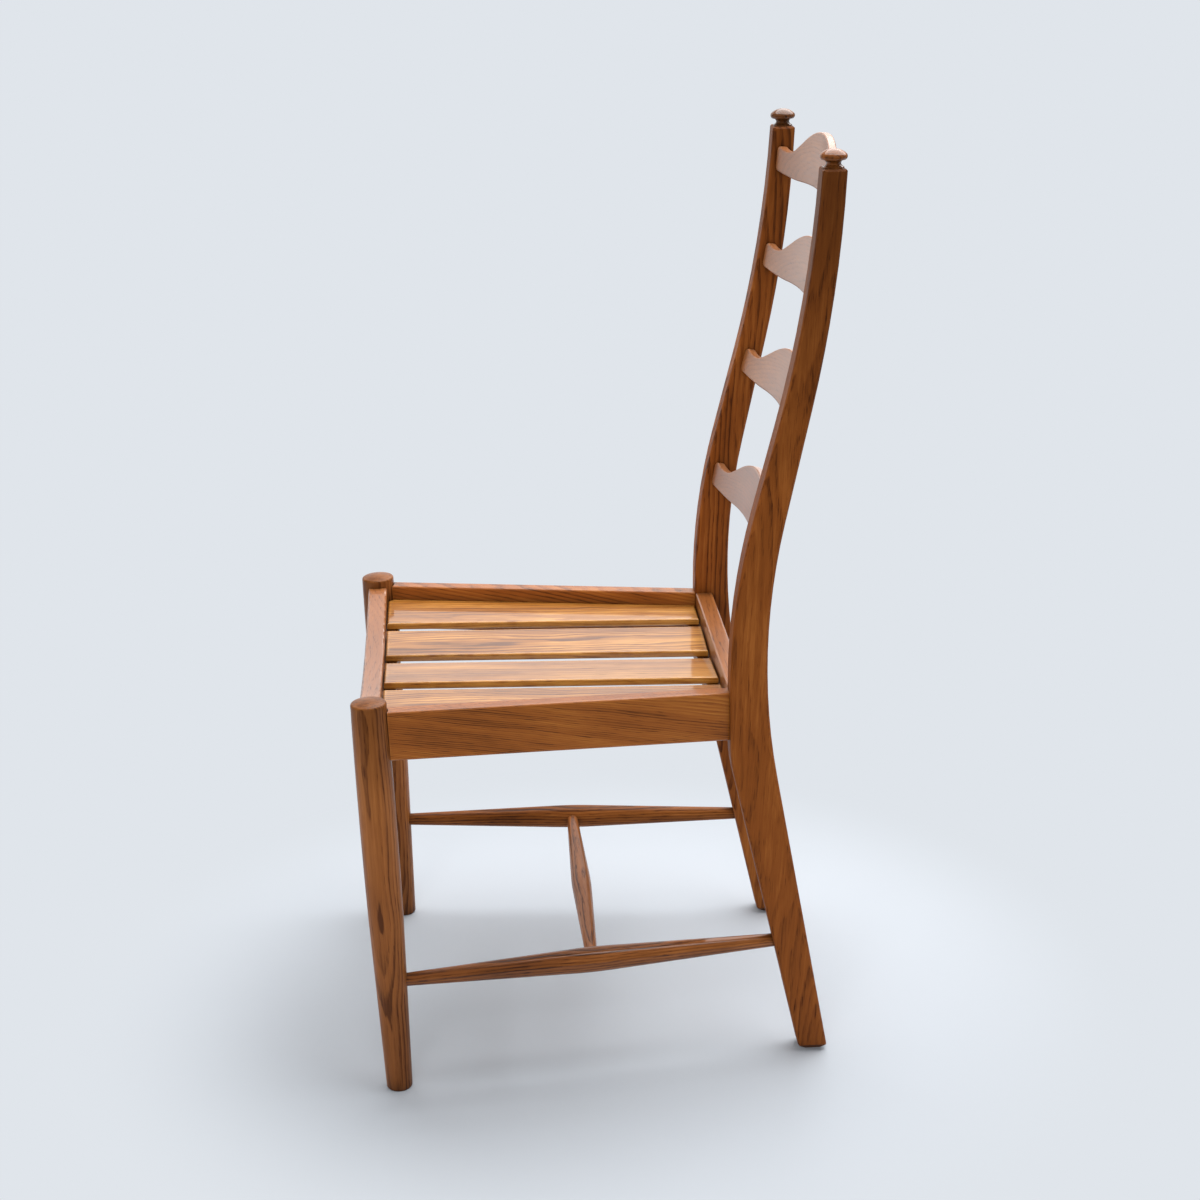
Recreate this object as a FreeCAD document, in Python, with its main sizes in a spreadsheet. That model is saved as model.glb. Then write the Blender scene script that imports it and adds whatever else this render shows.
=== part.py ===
import FreeCAD, Part
import math
import os
import Sketcher
from FreeCAD import Placement, Rotation, Vector

# Ladderback side chair. The sitter faces -Y, +Z is up and the sitter's left is +X.
# The origin is on the floor, in the middle of the chair's width and depth. Sizes are in
# millimetres, and angles are in degrees.

DRIVING_SIZES = {
    # Turned front legs: centres of the top and the foot, and the profile
    "leg_height": 455.5,
    "leg_top_out": 208.5,
    "leg_foot_out": 211.5,
    "leg_front": 247.41,
    "leg_foot_setback": 11.2,
    "leg_top_diameter": 38,
    "leg_shoulder_level": 205,
    "leg_shoulder_diameter": 38,
    "leg_belly": 0.8,
    "leg_foot_diameter": 28.5,
    "leg_dome": 2.4,
    "leg_rim_round": 2.5,
    "leg_foot_chamfer": 2,
    # Curved rear posts: the front edge, the rear edge and the section
    "post_out": 170.5,
    "post_thickness": 30,
    "post_top_level": 988.5,
    "post_foot_front": 214.59,
    "post_foot_depth": 31.9,
    "post_leg_front_angle": 12.4,
    "post_leg_rear_angle": 9.98,
    "post_knee_radius": 150,
    "post_flat_bottom_level": 376,
    "post_flat_top_level": 440,
    "post_front_bend_radius": 765,
    "post_front_back_angle": 14.7,
    "post_front_ease_level": 725,
    "post_front_ease_radius": 1400,
    "post_rear_bend_level": 340,
    "post_rear_bend_radius": 727,
    "post_rear_back_angle": 12.6,
    "post_rear_ease_level": 745,
    "post_rear_ease_radius": 1400,
    "post_edge_round": 4.5,
    "post_top_chamfer": 2,
    "post_foot_chamfer": 7.5,
    # Finials
    "finial_base_diameter": 21.5,
    "finial_base_height": 1.2,
    "finial_neck_diameter": 14.8,
    "finial_neck_level": 4.3,
    "finial_cap_diameter": 28,
    "finial_cap_bottom": 8.2,
    "finial_cap_shoulder": 14.5,
    "finial_height": 19,
    "finial_spigot_diameter": 10,
    "finial_spigot_length": 16,
    # Ladder rungs, all cut to one pattern
    "rung_top_level": 941.5,
    "rung_first_pitch": 109.2,
    "rung_pitch_growth": 13.5,
    "rung_thickness": 9,
    "rung_bow": 23,
    "rung_1_forward": 2.5,
    "rung_2_forward": 3,
    "rung_3_forward": 2,
    "rung_4_forward": 5.5,
    "rung_peak": 60.5,
    "rung_crown_radius": 180,
    "rung_flank_angle": 26.4,
    "rung_flank_run": 25,
    "rung_hollow_radius": 58,
    "rung_arch_half_width": 108,
    "rung_arch": 4,
    "rung_foot_radius": 400,
    "rung_corner_round": 6,
    "rung_edge_round": 1.8,
    "rung_tenon_length": 14,
    "rung_tenon_thickness": 6,
    "rung_tenon_height": 13,
    # Seat frame
    "seat_slope": 1.6,
    "rail_height": 55,
    "rail_proud": 9.5,
    "side_rail_thickness": 18,
    "side_rail_rear_out": 167.5,
    "front_rail_thickness": 22,
    "front_rail_dish": 12,
    "rear_rail_thickness": 20.5,
    "rear_rail_setback": 0.6,
    "rail_edge_round": 2.5,
    # Seat slats and the cleats under them
    "slat_width": 72.5,
    "slat_thickness": 8.5,
    "slat_gap": 24,
    "slat_outer_gap": 23.2,
    "slat_drop": 16,
    "slat_dip": 5.6,
    "slat_end_gap": 1.2,
    "slat_side_gap": 1.2,
    "slat_edge_round": 2.4,
    "slat_notch_gap": 2,
    "cleat_width": 14,
    "cleat_height": 20,
    "cleat_end_gap": 3.5,
    # Turned stretchers
    "stretcher_front_level": 129.5,
    "stretcher_rear_level": 135,
    "stretcher_end_diameter": 14.5,
    "stretcher_belly_diameter": 28,
    "stretcher_belly_half": 20,
    "stretcher_tenon": 14,
    "cross_end_diameter": 13.5,
    "cross_belly_diameter": 23,
    "cross_tenon": 9,
    # Dowels and screws
    "dowel_diameter": 8,
    "dowel_length": 34,
    "dowel_in_leg": 13,
    "dowel_chamfer": 0.8,
    "dowel_wide_pitch": 34,
    "dowel_close_pitch": 14,
    "screw_diameter": 3.5,
    "screw_head_diameter": 7,
    "screw_slot_width": 1,
    "screw_slot_depth": 1,
    "slat_screw_length": 24,
    "cleat_screw_length": 30,
    "cleat_screw_pitch": 120,
    # Clearance of every glued or driven joint
    "fit_gap": 0.1,
}

os.makedirs("parts", exist_ok=True)
doc = FreeCAD.newDocument("ladderback_chair")
sheet = doc.addObject("Spreadsheet::Sheet", "sizes")
for row, (alias, number) in enumerate(DRIVING_SIZES.items(), start=1):
    sheet.set("A%d" % row, alias)
    sheet.set("B%d" % row, str(number))
    sheet.setAlias("B%d" % row, alias)
doc.recompute()


class Size:
    """A length or ratio that knows both its number and its expression on the sheet."""

    def __init__(self, number, text):
        self.number = float(number)
        self.text = text

    def __add__(self, other):
        other = as_size(other)
        return Size(self.number + other.number, "(%s + %s)" % (self.text, other.text))

    def __sub__(self, other):
        other = as_size(other)
        return Size(self.number - other.number, "(%s - %s)" % (self.text, other.text))

    def __mul__(self, other):
        other = as_size(other)
        return Size(self.number * other.number, "(%s * %s)" % (self.text, other.text))

    def __truediv__(self, other):
        other = as_size(other)
        return Size(self.number / other.number, "(%s / %s)" % (self.text, other.text))

    def __neg__(self):
        return Size(-self.number, "(0 - %s)" % self.text)

    def __radd__(self, other):
        return as_size(other) + self

    def __rsub__(self, other):
        return as_size(other) - self

    def __rmul__(self, other):
        return as_size(other) * self


def as_size(value):
    return value if isinstance(value, Size) else Size(value, repr(float(value)))


def root(size):
    return Size(math.sqrt(size.number), "sqrt(%s)" % size.text)


def sine(angle):
    return Size(math.sin(math.radians(angle.number)), "sin(%s * 1 deg)" % angle.text)


def cosine(angle):
    return Size(math.cos(math.radians(angle.number)), "cos(%s * 1 deg)" % angle.text)


def tangent(angle):
    return sine(angle) / cosine(angle)


S = {alias: Size(float(sheet.get(alias)), "sizes." + alias) for alias in DRIVING_SIZES}


def value(alias):
    return S[alias].number


# Sketches, features and places


def new_body(label, place=Placement()):
    body = doc.addObject("PartDesign::Body", label)
    body.Label = label
    body.Placement = place
    return body


def new_sketch(body, plane, offset=Placement()):
    origin_plane = [item for item in body.Origin.OriginFeatures if item.Role == plane][0]
    sketch = body.newObject("Sketcher::SketchObject", body.Name + "_sketch")
    sketch.AttachmentSupport = [(origin_plane, "")]
    sketch.MapMode = "FlatFace"
    sketch.AttachmentOffset = offset
    return sketch


def constrain(sketch, kind, refs, size):
    index = sketch.addConstraint(Sketcher.Constraint(kind, *refs, size.number))
    sketch.setExpression("Constraints[%d]" % index, size.text)


def arc_middle(start, end, radius):
    """Middle of the short arc from start to end. A positive radius turns to the left."""
    chord = end - start
    height = math.sqrt(radius * radius - chord.Length ** 2 / 4)
    left = Vector(-chord.y, chord.x, 0).normalize()
    sagitta = abs(radius) - height
    return (start + end) * 0.5 - left * math.copysign(sagitta, radius)


def closed_outline(sketch, corners):
    """Draws a closed outline. A corner is (across, up) or (across, up, radius of the next side)."""
    points = [(as_size(corner[0]), as_size(corner[1])) for corner in corners]
    places = [Vector(point[0].number, point[1].number, 0) for point in points]
    count = len(corners)
    first = sketch.GeometryCount
    for index, corner in enumerate(corners):
        start, end = places[index], places[(index + 1) % count]
        if len(corner) == 3:
            middle = arc_middle(start, end, as_size(corner[2]).number)
            sketch.addGeometry(Part.Arc(start, middle, end), False)
        else:
            sketch.addGeometry(Part.LineSegment(start, end), False)
    starts = []
    ends = []
    for index, place in enumerate(places):
        forward = sketch.getPoint(first + index, 1).distanceToPoint(place) < 1e-6
        starts.append((first + index, 1 if forward else 2))
        ends.append((first + index, 2 if forward else 1))
    for index, point in enumerate(points):
        follower = starts[(index + 1) % count]
        sketch.addConstraint(Sketcher.Constraint("Coincident", *ends[index], *follower))
        constrain(sketch, "DistanceX", starts[index], point[0])
        constrain(sketch, "DistanceY", starts[index], point[1])
    for index, corner in enumerate(corners):
        if len(corner) == 3:
            radius = as_size(corner[2])
            size = radius if radius.number > 0 else -radius
            constrain(sketch, "Radius", (first + index,), size)


def circle(sketch, diameter):
    sketch.addGeometry(Part.Circle(Vector(0, 0, 0), Vector(0, 0, 1), diameter.number / 2), False)
    sketch.addConstraint(Sketcher.Constraint("Coincident", 0, 3, -1, 1))
    constrain(sketch, "Diameter", (0,), diameter)


def rectangle(sketch, width, height):
    across, up = as_size(width) / 2, as_size(height) / 2
    closed_outline(sketch, [(-across, -up), (across, -up), (across, up), (-across, up)])


def pad(body, sketch, length, side="One side", backwards=False):
    feature = body.newObject("PartDesign::Pad", body.Name + "_pad")
    feature.Profile = sketch
    feature.SideType = side
    feature.Reversed = backwards
    feature.setExpression("Length", as_size(length).text)
    body.Tip = feature
    doc.recompute()
    return feature


def revolve(body, sketch):
    feature = body.newObject("PartDesign::Revolution", body.Name + "_turning")
    feature.Profile = sketch
    feature.ReferenceAxis = (sketch, ["V_Axis"])
    feature.Angle = 360
    body.Tip = feature
    doc.recompute()
    return feature


def pocket(body, sketch, depth, backwards=False, side="One side"):
    """Cuts below the sketch, or above it when backwards, and checks that something came off."""
    before = body.Shape.Volume
    feature = body.newObject("PartDesign::Pocket", body.Name + "_pocket")
    feature.Profile = sketch
    feature.SideType = side
    feature.Reversed = backwards
    feature.setExpression("Length", as_size(depth).text)
    body.Tip = feature
    doc.recompute()
    if not body.Shape.Volume < before:
        raise ValueError("nothing was cut from " + body.Label)
    return feature


def inside(body, place):
    """Turns a place in the chair's frame into one in the body's own frame."""
    return body.Placement.inverse().multiply(place)


def mouth_above(place, height):
    return place.multiply(Placement(Vector(0, 0, height), Rotation()))


def bore(body, place, diameter, depth):
    """Round hole. The place is its mouth, with its Z axis pointing out of the wood."""
    raised = stand_off()
    sketch = new_sketch(body, "XY_Plane", inside(body, mouth_above(place, raised.number)))
    circle(sketch, diameter)
    pocket(body, sketch, depth + raised)


def mortise(body, place, width, height, depth):
    """Square hole. The place is its mouth, with its Z axis pointing out of the wood."""
    sketch = new_sketch(body, "XY_Plane", inside(body, place))
    rectangle(sketch, width, height)
    pocket(body, sketch, depth)


def trim(body, place):
    """Takes off all that lies on the +Z side of a place."""
    sketch = new_sketch(body, "XY_Plane", inside(body, place))
    rectangle(sketch, trim_reach(), trim_reach())
    pocket(body, sketch, trim_reach(), backwards=True)


def cope(body, axis, radius):
    """Hollows the end of a rail to seat on a round leg."""
    start = mouth_above(axis, value("leg_height") + trim_reach().number / 2)
    sketch = new_sketch(body, "XY_Plane", inside(body, start))
    circle(sketch, radius * 2)
    pocket(body, sketch, trim_reach() * 2)


def round_edges(body, wanted, radius, kind="Fillet"):
    """Rounds or chamfers the edges for which wanted(edge) is true."""
    base = body.Tip
    names = ["Edge%d" % (index + 1) for index, edge in enumerate(base.Shape.Edges) if wanted(edge)]
    feature = body.newObject("PartDesign::" + kind, body.Name + "_" + kind.lower())
    feature.Base = (base, names)
    feature.setExpression("Radius" if kind == "Fillet" else "Size", as_size(radius).text)
    body.Tip = feature
    doc.recompute()
    return feature


def stand_off():
    """How far a bore's sketch stands above its mouth, to clear the round of the wood."""
    return S["leg_top_diameter"] / 2


def trim_reach():
    return S["rail_height"] * 3


def frame_at(origin, out, along):
    """A place whose Z axis points out, with its X axis as near to along as that allows."""
    return Placement(origin, Rotation(along, Vector(), out, "ZXY"))


UP = Vector(0, 0, 1)
ACROSS = Vector(1, 0, 0)
REARWARD = Vector(0, 1, 0)
SIDES = {"left": 1, "right": -1}
GAP = S["fit_gap"]


# Front legs


def leg_place(side):
    """Foot of a front leg, with the Z axis along the leg."""
    foot = Vector(side * value("leg_foot_out"), value("leg_foot_setback") - value("leg_front"), 0)
    top = Vector(side * value("leg_top_out"), -value("leg_front"), value("leg_height"))
    return frame_at(foot, top - foot, ACROSS)


def leg_axis_at(side, level):
    place = leg_place(side)
    direction = place.Rotation.multVec(UP)
    return place.Base + direction * (level / direction.z)


def leg_radius_at(level):
    """Radius on the straight taper of the lower leg."""
    share = level / value("leg_shoulder_level")
    foot, shoulder = value("leg_foot_diameter") / 2, value("leg_shoulder_diameter") / 2
    return foot + share * (shoulder - foot)


def leg_seat_radius():
    """Radius that clears the widest of the upper leg."""
    return S["leg_top_diameter"] / 2 + S["leg_belly"] + GAP


def build_front_leg(name, side):
    body = new_body("front_leg_" + name, leg_place(side))
    foot, shoulder = S["leg_foot_diameter"] / 2, S["leg_shoulder_diameter"] / 2
    top, rim, level = S["leg_top_diameter"] / 2, S["leg_rim_round"], S["leg_shoulder_level"]
    height = S["leg_height"]
    chamfer = S["leg_foot_chamfer"]
    half_upper = (height - rim - level) / 2
    belly = (half_upper * half_upper + S["leg_belly"] * S["leg_belly"]) / (S["leg_belly"] * 2)
    inner = top - rim
    dome = (inner * inner + S["leg_dome"] * S["leg_dome"]) / (S["leg_dome"] * 2)
    sketch = new_sketch(body, "XZ_Plane")
    closed_outline(sketch, [
        (0, -chamfer),
        (foot - chamfer, -chamfer),
        (foot, chamfer),
        (shoulder, level, belly),
        (top, height - rim, rim),
        (inner, height, dome),
        (0, height + S["leg_dome"]),
    ])
    revolve(body, sketch)
    floor = frame_at(Vector(body.Placement.Base), -UP, ACROSS)
    trim(body, floor)
    return body


# Rear posts


def post_front_edge():
    """Corners of the post's front edge from the foot up, as (rearward, up, radius)."""
    leg, back = S["post_leg_front_angle"], S["post_front_back_angle"]
    knee, bend, ease = S["post_knee_radius"], S["post_front_bend_radius"], S["post_front_ease_radius"]
    knee_level = S["post_flat_bottom_level"] - knee * sine(leg)
    knee_y = S["post_foot_front"] - tangent(leg) * knee_level
    flat_y = knee_y - knee * (1 - cosine(leg))
    bend_level = S["post_flat_top_level"] + bend * sine(back)
    bend_y = flat_y + bend * (1 - cosine(back))
    ease_level = S["post_front_ease_level"]
    ease_y = bend_y + tangent(back) * (ease_level - bend_level)
    top_sine = sine(back) - (S["post_top_level"] - ease_level) / ease
    top_y = ease_y + ease * (root(1 - top_sine * top_sine) - cosine(back))
    return [
        (S["post_foot_front"], as_size(0)),
        (knee_y, knee_level, -knee),
        (flat_y, S["post_flat_bottom_level"]),
        (flat_y, S["post_flat_top_level"], -bend),
        (bend_y, bend_level),
        (ease_y, ease_level, ease),
        (top_y, S["post_top_level"]),
    ]


def post_rear_edge():
    """Corners of the post's rear edge from the foot up, as (rearward, up, radius)."""
    leg, back = S["post_leg_rear_angle"], S["post_rear_back_angle"]
    bend, ease = S["post_rear_bend_radius"], S["post_rear_ease_radius"]
    bend_level = S["post_rear_bend_level"]
    foot_y = S["post_foot_front"] + S["post_foot_depth"]
    bend_y = foot_y - tangent(leg) * bend_level
    back_level = bend_level + bend * (sine(leg) + sine(back))
    back_y = bend_y + bend * (cosine(leg) - cosine(back))
    ease_level = S["post_rear_ease_level"]
    ease_y = back_y + tangent(back) * (ease_level - back_level)
    top_sine = sine(back) - (S["post_top_level"] - ease_level) / ease
    top_y = ease_y + ease * (root(1 - top_sine * top_sine) - cosine(back))
    return [
        (foot_y, as_size(0)),
        (bend_y, bend_level, -bend),
        (back_y, back_level),
        (ease_y, ease_level, ease),
        (top_y, S["post_top_level"]),
    ]


def downwards(edge):
    """The same edge from its top to its foot, with each radius on the corner before its side."""
    corners = []
    for index in range(len(edge) - 1, -1, -1):
        below = edge[index - 1] if index > 0 else ()
        corner = (edge[index][0], edge[index][1])
        corners.append(corner + (-below[2],) if len(below) == 3 else corner)
    return corners


def edge_at(edge, level):
    """How far back an edge of the post is at a level."""
    for lower, upper in zip(edge, edge[1:]):
        if level <= upper[1].number:
            break
    start = Vector(lower[0].number, lower[1].number, 0)
    end = Vector(upper[0].number, upper[1].number, 0)
    share = (level - start.y) / (end.y - start.y)
    if len(lower) < 3:
        return start.x + share * (end.x - start.x)
    radius = lower[2].number
    middle = arc_middle(start, end, radius)
    chord = end - start
    left = Vector(-chord.y, chord.x, 0).normalize()
    centre = middle + left * radius
    across = math.sqrt(radius * radius - (level - centre.y) ** 2)
    return centre.x + math.copysign(across, middle.x - centre.x)


FRONT_EDGE = post_front_edge()
REAR_EDGE = post_rear_edge()
POST_FLAT_Y = FRONT_EDGE[2][0]
POST_INNER = S["post_out"] - S["post_thickness"] / 2


def build_rear_post(name, side):
    body = new_body("rear_post_" + name, Placement(Vector(side * value("post_out"), 0, 0), Rotation()))
    sketch = new_sketch(body, "YZ_Plane")
    closed_outline(sketch, REAR_EDGE + downwards(FRONT_EDGE))
    pad(body, sketch, S["post_thickness"], side="Symmetric")
    half = value("post_thickness") / 2
    top = value("post_top_level")

    def runs_up(edge):
        points = [vertex.Point for vertex in edge.Vertexes]
        on_side = all(abs(abs(point.x) - half) < 1e-6 for point in points)
        return on_side and abs(points[0].z - points[-1].z) > 1

    def on_top(edge):
        return all(abs(vertex.Point.z - top) < 1e-6 for vertex in edge.Vertexes)

    def on_foot(edge):
        return all(abs(vertex.Point.z) < 1e-6 for vertex in edge.Vertexes)

    round_edges(body, on_top, S["post_top_chamfer"], kind="Chamfer")
    round_edges(body, on_foot, S["post_foot_chamfer"], kind="Chamfer")
    round_edges(body, runs_up, S["post_edge_round"])
    return body


# Finials


def finial_place(side):
    middle = (FRONT_EDGE[-1][0].number + REAR_EDGE[-1][0].number) / 2
    return Placement(Vector(side * value("post_out"), middle, value("post_top_level")), Rotation())


def build_finial(name, side):
    body = new_body("finial_" + name, finial_place(side))
    spigot, length = S["finial_spigot_diameter"] / 2, S["finial_spigot_length"]
    base, base_top = S["finial_base_diameter"] / 2, S["finial_base_height"]
    neck, neck_level = S["finial_neck_diameter"] / 2, S["finial_neck_level"]
    cap, cap_bottom = S["finial_cap_diameter"] / 2, S["finial_cap_bottom"]
    shoulder, height = S["finial_cap_shoulder"], S["finial_height"]
    cove = root((base - neck) * (base - neck) + (neck_level - base_top) * (neck_level - base_top))
    edge_half = (shoulder - cap_bottom) / 2
    rim = cap - edge_half / 2
    edge_radius = (edge_half * edge_half + (cap - rim) * (cap - rim)) / ((cap - rim) * 2)
    crown = height - shoulder
    crown_radius = (rim * rim + crown * crown) / (crown * 2)
    sketch = new_sketch(body, "XZ_Plane")
    closed_outline(sketch, [
        (0, -length),
        (spigot, -length),
        (spigot, 0),
        (base, 0),
        (base, base_top, -cove),
        (neck, neck_level, -cove),
        (rim, cap_bottom, edge_radius),
        (rim, shoulder, crown_radius),
        (0, height),
    ])
    revolve(body, sketch)
    return body


def join_finial(post, side):
    bore(post, finial_place(side), S["finial_spigot_diameter"] + GAP * 2,
         S["finial_spigot_length"] + GAP * 2)


# Ladder rungs


RUNG_NUMBERS = (1, 2, 3, 4)


def rung_level(number):
    """Level of a rung's lower edge. The rungs lie further apart the lower they are."""
    steps = number - 1
    wider = value("rung_pitch_growth") * steps * (steps - 1) / 2
    return value("rung_top_level") - value("rung_first_pitch") * steps - wider


def rung_bow_radius():
    return (POST_INNER * POST_INNER + S["rung_bow"] * S["rung_bow"]) / (S["rung_bow"] * 2)


def rung_end_depth():
    """Front to back size of a rung's end face, which cuts across its bow."""
    outer = rung_bow_radius() + S["rung_thickness"]
    return S["rung_bow"] - rung_bow_radius() + root(outer * outer - POST_INNER * POST_INNER)


def rung_place(number):
    """Lower end of a rung's front face, on the chair's centre plane, leaning with the posts."""
    level = rung_level(number)
    middle_level = level + value("rung_tenon_height")
    front, rear = edge_at(FRONT_EDGE, middle_level), edge_at(REAR_EDGE, middle_level)
    step = value("rung_tenon_height")
    lean = math.atan2(edge_at(FRONT_EDGE, middle_level + step) - edge_at(FRONT_EDGE, level), step * 2)
    middle = (front + rear) / 2 - value("rung_%d_forward" % number)
    place = Placement(Vector(0, middle, middle_level), Rotation(ACROSS, -math.degrees(lean)))
    down = Vector(0, -rung_end_depth().number / 2, -step)
    return place.multiply(Placement(down, Rotation()))


def rung_wave():
    """Where the crown, the flank and the hollow of the wavy top edge end."""
    angle, crown, hollow = S["rung_flank_angle"], S["rung_crown_radius"], S["rung_hollow_radius"]
    crown_x = crown * sine(angle)
    crown_z = S["rung_peak"] - crown * (1 - cosine(angle))
    flank_x = crown_x + S["rung_flank_run"]
    flank_z = crown_z - S["rung_flank_run"] * tangent(angle)
    low_x = flank_x + hollow * sine(angle)
    low_z = flank_z - hollow * (1 - cosine(angle))
    return (crown_x, crown_z), (flank_x, flank_z), (low_x, low_z)


def rung_top_corner():
    """Where the hollow passes into the upper corner's round, and where that round ends."""
    hollow, corner = S["rung_hollow_radius"], S["rung_corner_round"]
    low_x, low_z = rung_wave()[2]
    start_x = (hollow * (POST_INNER - corner) + corner * low_x) / (hollow + corner)
    slant = (start_x - low_x) / hollow
    level = root(1 - slant * slant)
    start_z = low_z + hollow * (1 - level)
    return (start_x, start_z), start_z - corner * level


def rung_bottom_corner():
    """Where the lower edge passes into the lower corner's round, and where that round ends."""
    foot, corner = S["rung_foot_radius"], S["rung_corner_round"]
    low_x = S["rung_arch_half_width"]
    start_x = (foot * (POST_INNER - corner) - corner * low_x) / (foot - corner)
    slant = (start_x - low_x) / foot
    level = root(1 - slant * slant)
    start_z = foot * (1 - level) - S["rung_arch"]
    return (start_x, start_z), start_z + corner * level


def rung_outline():
    """Front view of a rung: a crown between two hollows above, and a slight arch below."""
    crown, flank = rung_wave()[:2]
    hollow, foot, corner = S["rung_hollow_radius"], S["rung_foot_radius"], S["rung_corner_round"]
    top, high = rung_top_corner()
    bottom, low = rung_bottom_corner()
    low_x, arch = S["rung_arch_half_width"], S["rung_arch"]
    both_radii = (low_x * low_x + arch * arch) / (arch * 2)
    arch_radius = both_radii - foot
    arch_x, arch_z = arch_radius * low_x / both_radii, arch_radius * arch / both_radii
    return [
        (-bottom[0], bottom[1], foot),
        (-arch_x, -arch_z, -arch_radius),
        (arch_x, -arch_z, foot),
        (bottom[0], bottom[1], corner),
        (POST_INNER, low),
        (POST_INNER, high, corner),
        (top[0], top[1], -hollow),
        flank,
        (crown[0], crown[1], S["rung_crown_radius"]),
        (-crown[0], crown[1]),
        (-flank[0], flank[1], -hollow),
        (-top[0], top[1], corner),
        (-POST_INNER, high),
        (-POST_INNER, low, corner),
    ]


def rung_tenon_centre():
    return rung_end_depth() / 2, (rung_top_corner()[1] + rung_bottom_corner()[1]) / 2


def build_rung(number):
    body = new_body("ladder_rung_%d" % number, rung_place(number))
    bow, thick = rung_bow_radius(), S["rung_thickness"]
    below = S["rung_arch"] * 2
    plan = new_sketch(body, "XY_Plane", Placement(Vector(0, 0, -below.number), Rotation()))
    closed_outline(plan, [
        (-POST_INNER, 0, -bow),
        (POST_INNER, 0),
        (POST_INNER, rung_end_depth(), bow + thick),
        (-POST_INNER, rung_end_depth()),
    ])
    pad(body, plan, S["rung_peak"] + below * 2)
    front = new_sketch(body, "XZ_Plane")
    reach, top = POST_INNER * 2, S["rung_peak"] * 2
    closed_outline(front, rung_outline())
    closed_outline(front, [(-reach, -top), (reach, -top), (reach, top), (-reach, top)])
    pocket(body, front, reach, side="Symmetric")
    inner = POST_INNER.number

    def along_rung(edge):
        points = [vertex.Point for vertex in edge.Vertexes]
        on_end = all(abs(abs(point.x) - inner) < 1e-4 for point in points)
        across = abs(points[0].y - points[-1].y) > 0.9 * value("rung_thickness")
        same_x = abs(points[0].x - points[-1].x) < 0.2 * value("rung_thickness")
        return not on_end and not (across and same_x)

    round_edges(body, along_rung, S["rung_edge_round"])
    depth, height = rung_tenon_centre()
    for side in SIDES.values():
        centre = Vector(side * inner, depth.number, height.number)
        place = frame_at(centre, ACROSS * side, REARWARD)
        tenon = new_sketch(body, "XY_Plane", place)
        rectangle(tenon, S["rung_tenon_thickness"], S["rung_tenon_height"])
        pad(body, tenon, S["rung_tenon_length"])
    return body


def join_rung(post, side, number):
    depth, height = rung_tenon_centre()
    mouth = frame_at(Vector(side * POST_INNER.number, depth.number, height.number),
                     ACROSS * -side, REARWARD)
    mortise(post, rung_place(number).multiply(mouth), S["rung_tenon_thickness"] + GAP * 2,
            S["rung_tenon_height"] + GAP * 2, S["rung_tenon_length"] + GAP * 2)


# Seat frame


def rail_top_at(rearward):
    """Level of the side rails' top edge."""
    fall = math.tan(math.radians(value("seat_slope")))
    return value("leg_height") - value("rail_proud") - fall * (rearward + value("leg_front"))


def side_rail_ends(side):
    """Where the side rail's top centre line meets the leg's axis and the post's face."""
    level = rail_top_at(-value("leg_front"))
    front = leg_axis_at(side, level)
    rear_y = POST_FLAT_Y.number
    rear = Vector(side * value("side_rail_rear_out"), rear_y, rail_top_at(rear_y))
    return front, rear


def side_rail_place(side):
    front, rear = side_rail_ends(side)
    return Placement(front, Rotation(rear - front, Vector(), UP, "XZY"))


def build_side_rail(name, side):
    body = new_body("side_rail_" + name, side_rail_place(side))
    front, rear = side_rail_ends(side)
    half, height = S["side_rail_thickness"] / 2, S["rail_height"]
    section = new_sketch(body, "YZ_Plane")
    closed_outline(section, [(-half, -height), (half, -height), (half, 0), (-half, 0)])
    pad(body, section, as_size((rear - front).Length) + S["side_rail_thickness"])
    round_edges(body, lambda edge: edge.Length > (rear - front).Length / 2, S["rail_edge_round"])
    trim(body, frame_at(rear, REARWARD, ACROSS))
    cope(body, leg_place(side), leg_seat_radius())
    return body


def build_front_rail():
    top = rail_top_at(-value("leg_front"))
    body = new_body("front_rail", Placement(Vector(0, -value("leg_front"), top), Rotation()))
    reach, height = S["leg_top_out"], S["rail_height"]
    dish_x, dish = S["leg_top_out"] - S["leg_top_diameter"] / 2, S["front_rail_dish"]
    dish_radius = (dish_x * dish_x + dish * dish) / (dish * 2)
    front = new_sketch(body, "XZ_Plane")
    closed_outline(front, [
        (-reach, -height),
        (reach, -height),
        (reach, 0),
        (dish_x, 0, -dish_radius),
        (-dish_x, 0),
        (-reach, 0),
    ])
    pad(body, front, S["front_rail_thickness"], side="Symmetric")
    round_edges(body, lambda edge: edge.Length > dish_x.number, S["rail_edge_round"])
    for side in SIDES.values():
        cope(body, leg_place(side), leg_seat_radius())
    return body


def rear_rail_front_y():
    return POST_FLAT_Y + S["rear_rail_setback"]


def build_rear_rail():
    half = S["rear_rail_thickness"] / 2
    middle = (rear_rail_front_y() + half).number
    top = rail_top_at(POST_FLAT_Y.number)
    body = new_body("rear_rail", Placement(Vector(0, middle, top), Rotation()))
    height = S["rail_height"]
    section = new_sketch(body, "YZ_Plane")
    closed_outline(section, [(-half, -height), (half, -height), (half, 0), (-half, 0)])
    pad(body, section, POST_INNER * 2, side="Symmetric")
    round_edges(body, lambda edge: edge.Length > POST_INNER.number, S["rail_edge_round"])
    return body


# Dowels of the seat frame


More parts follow.
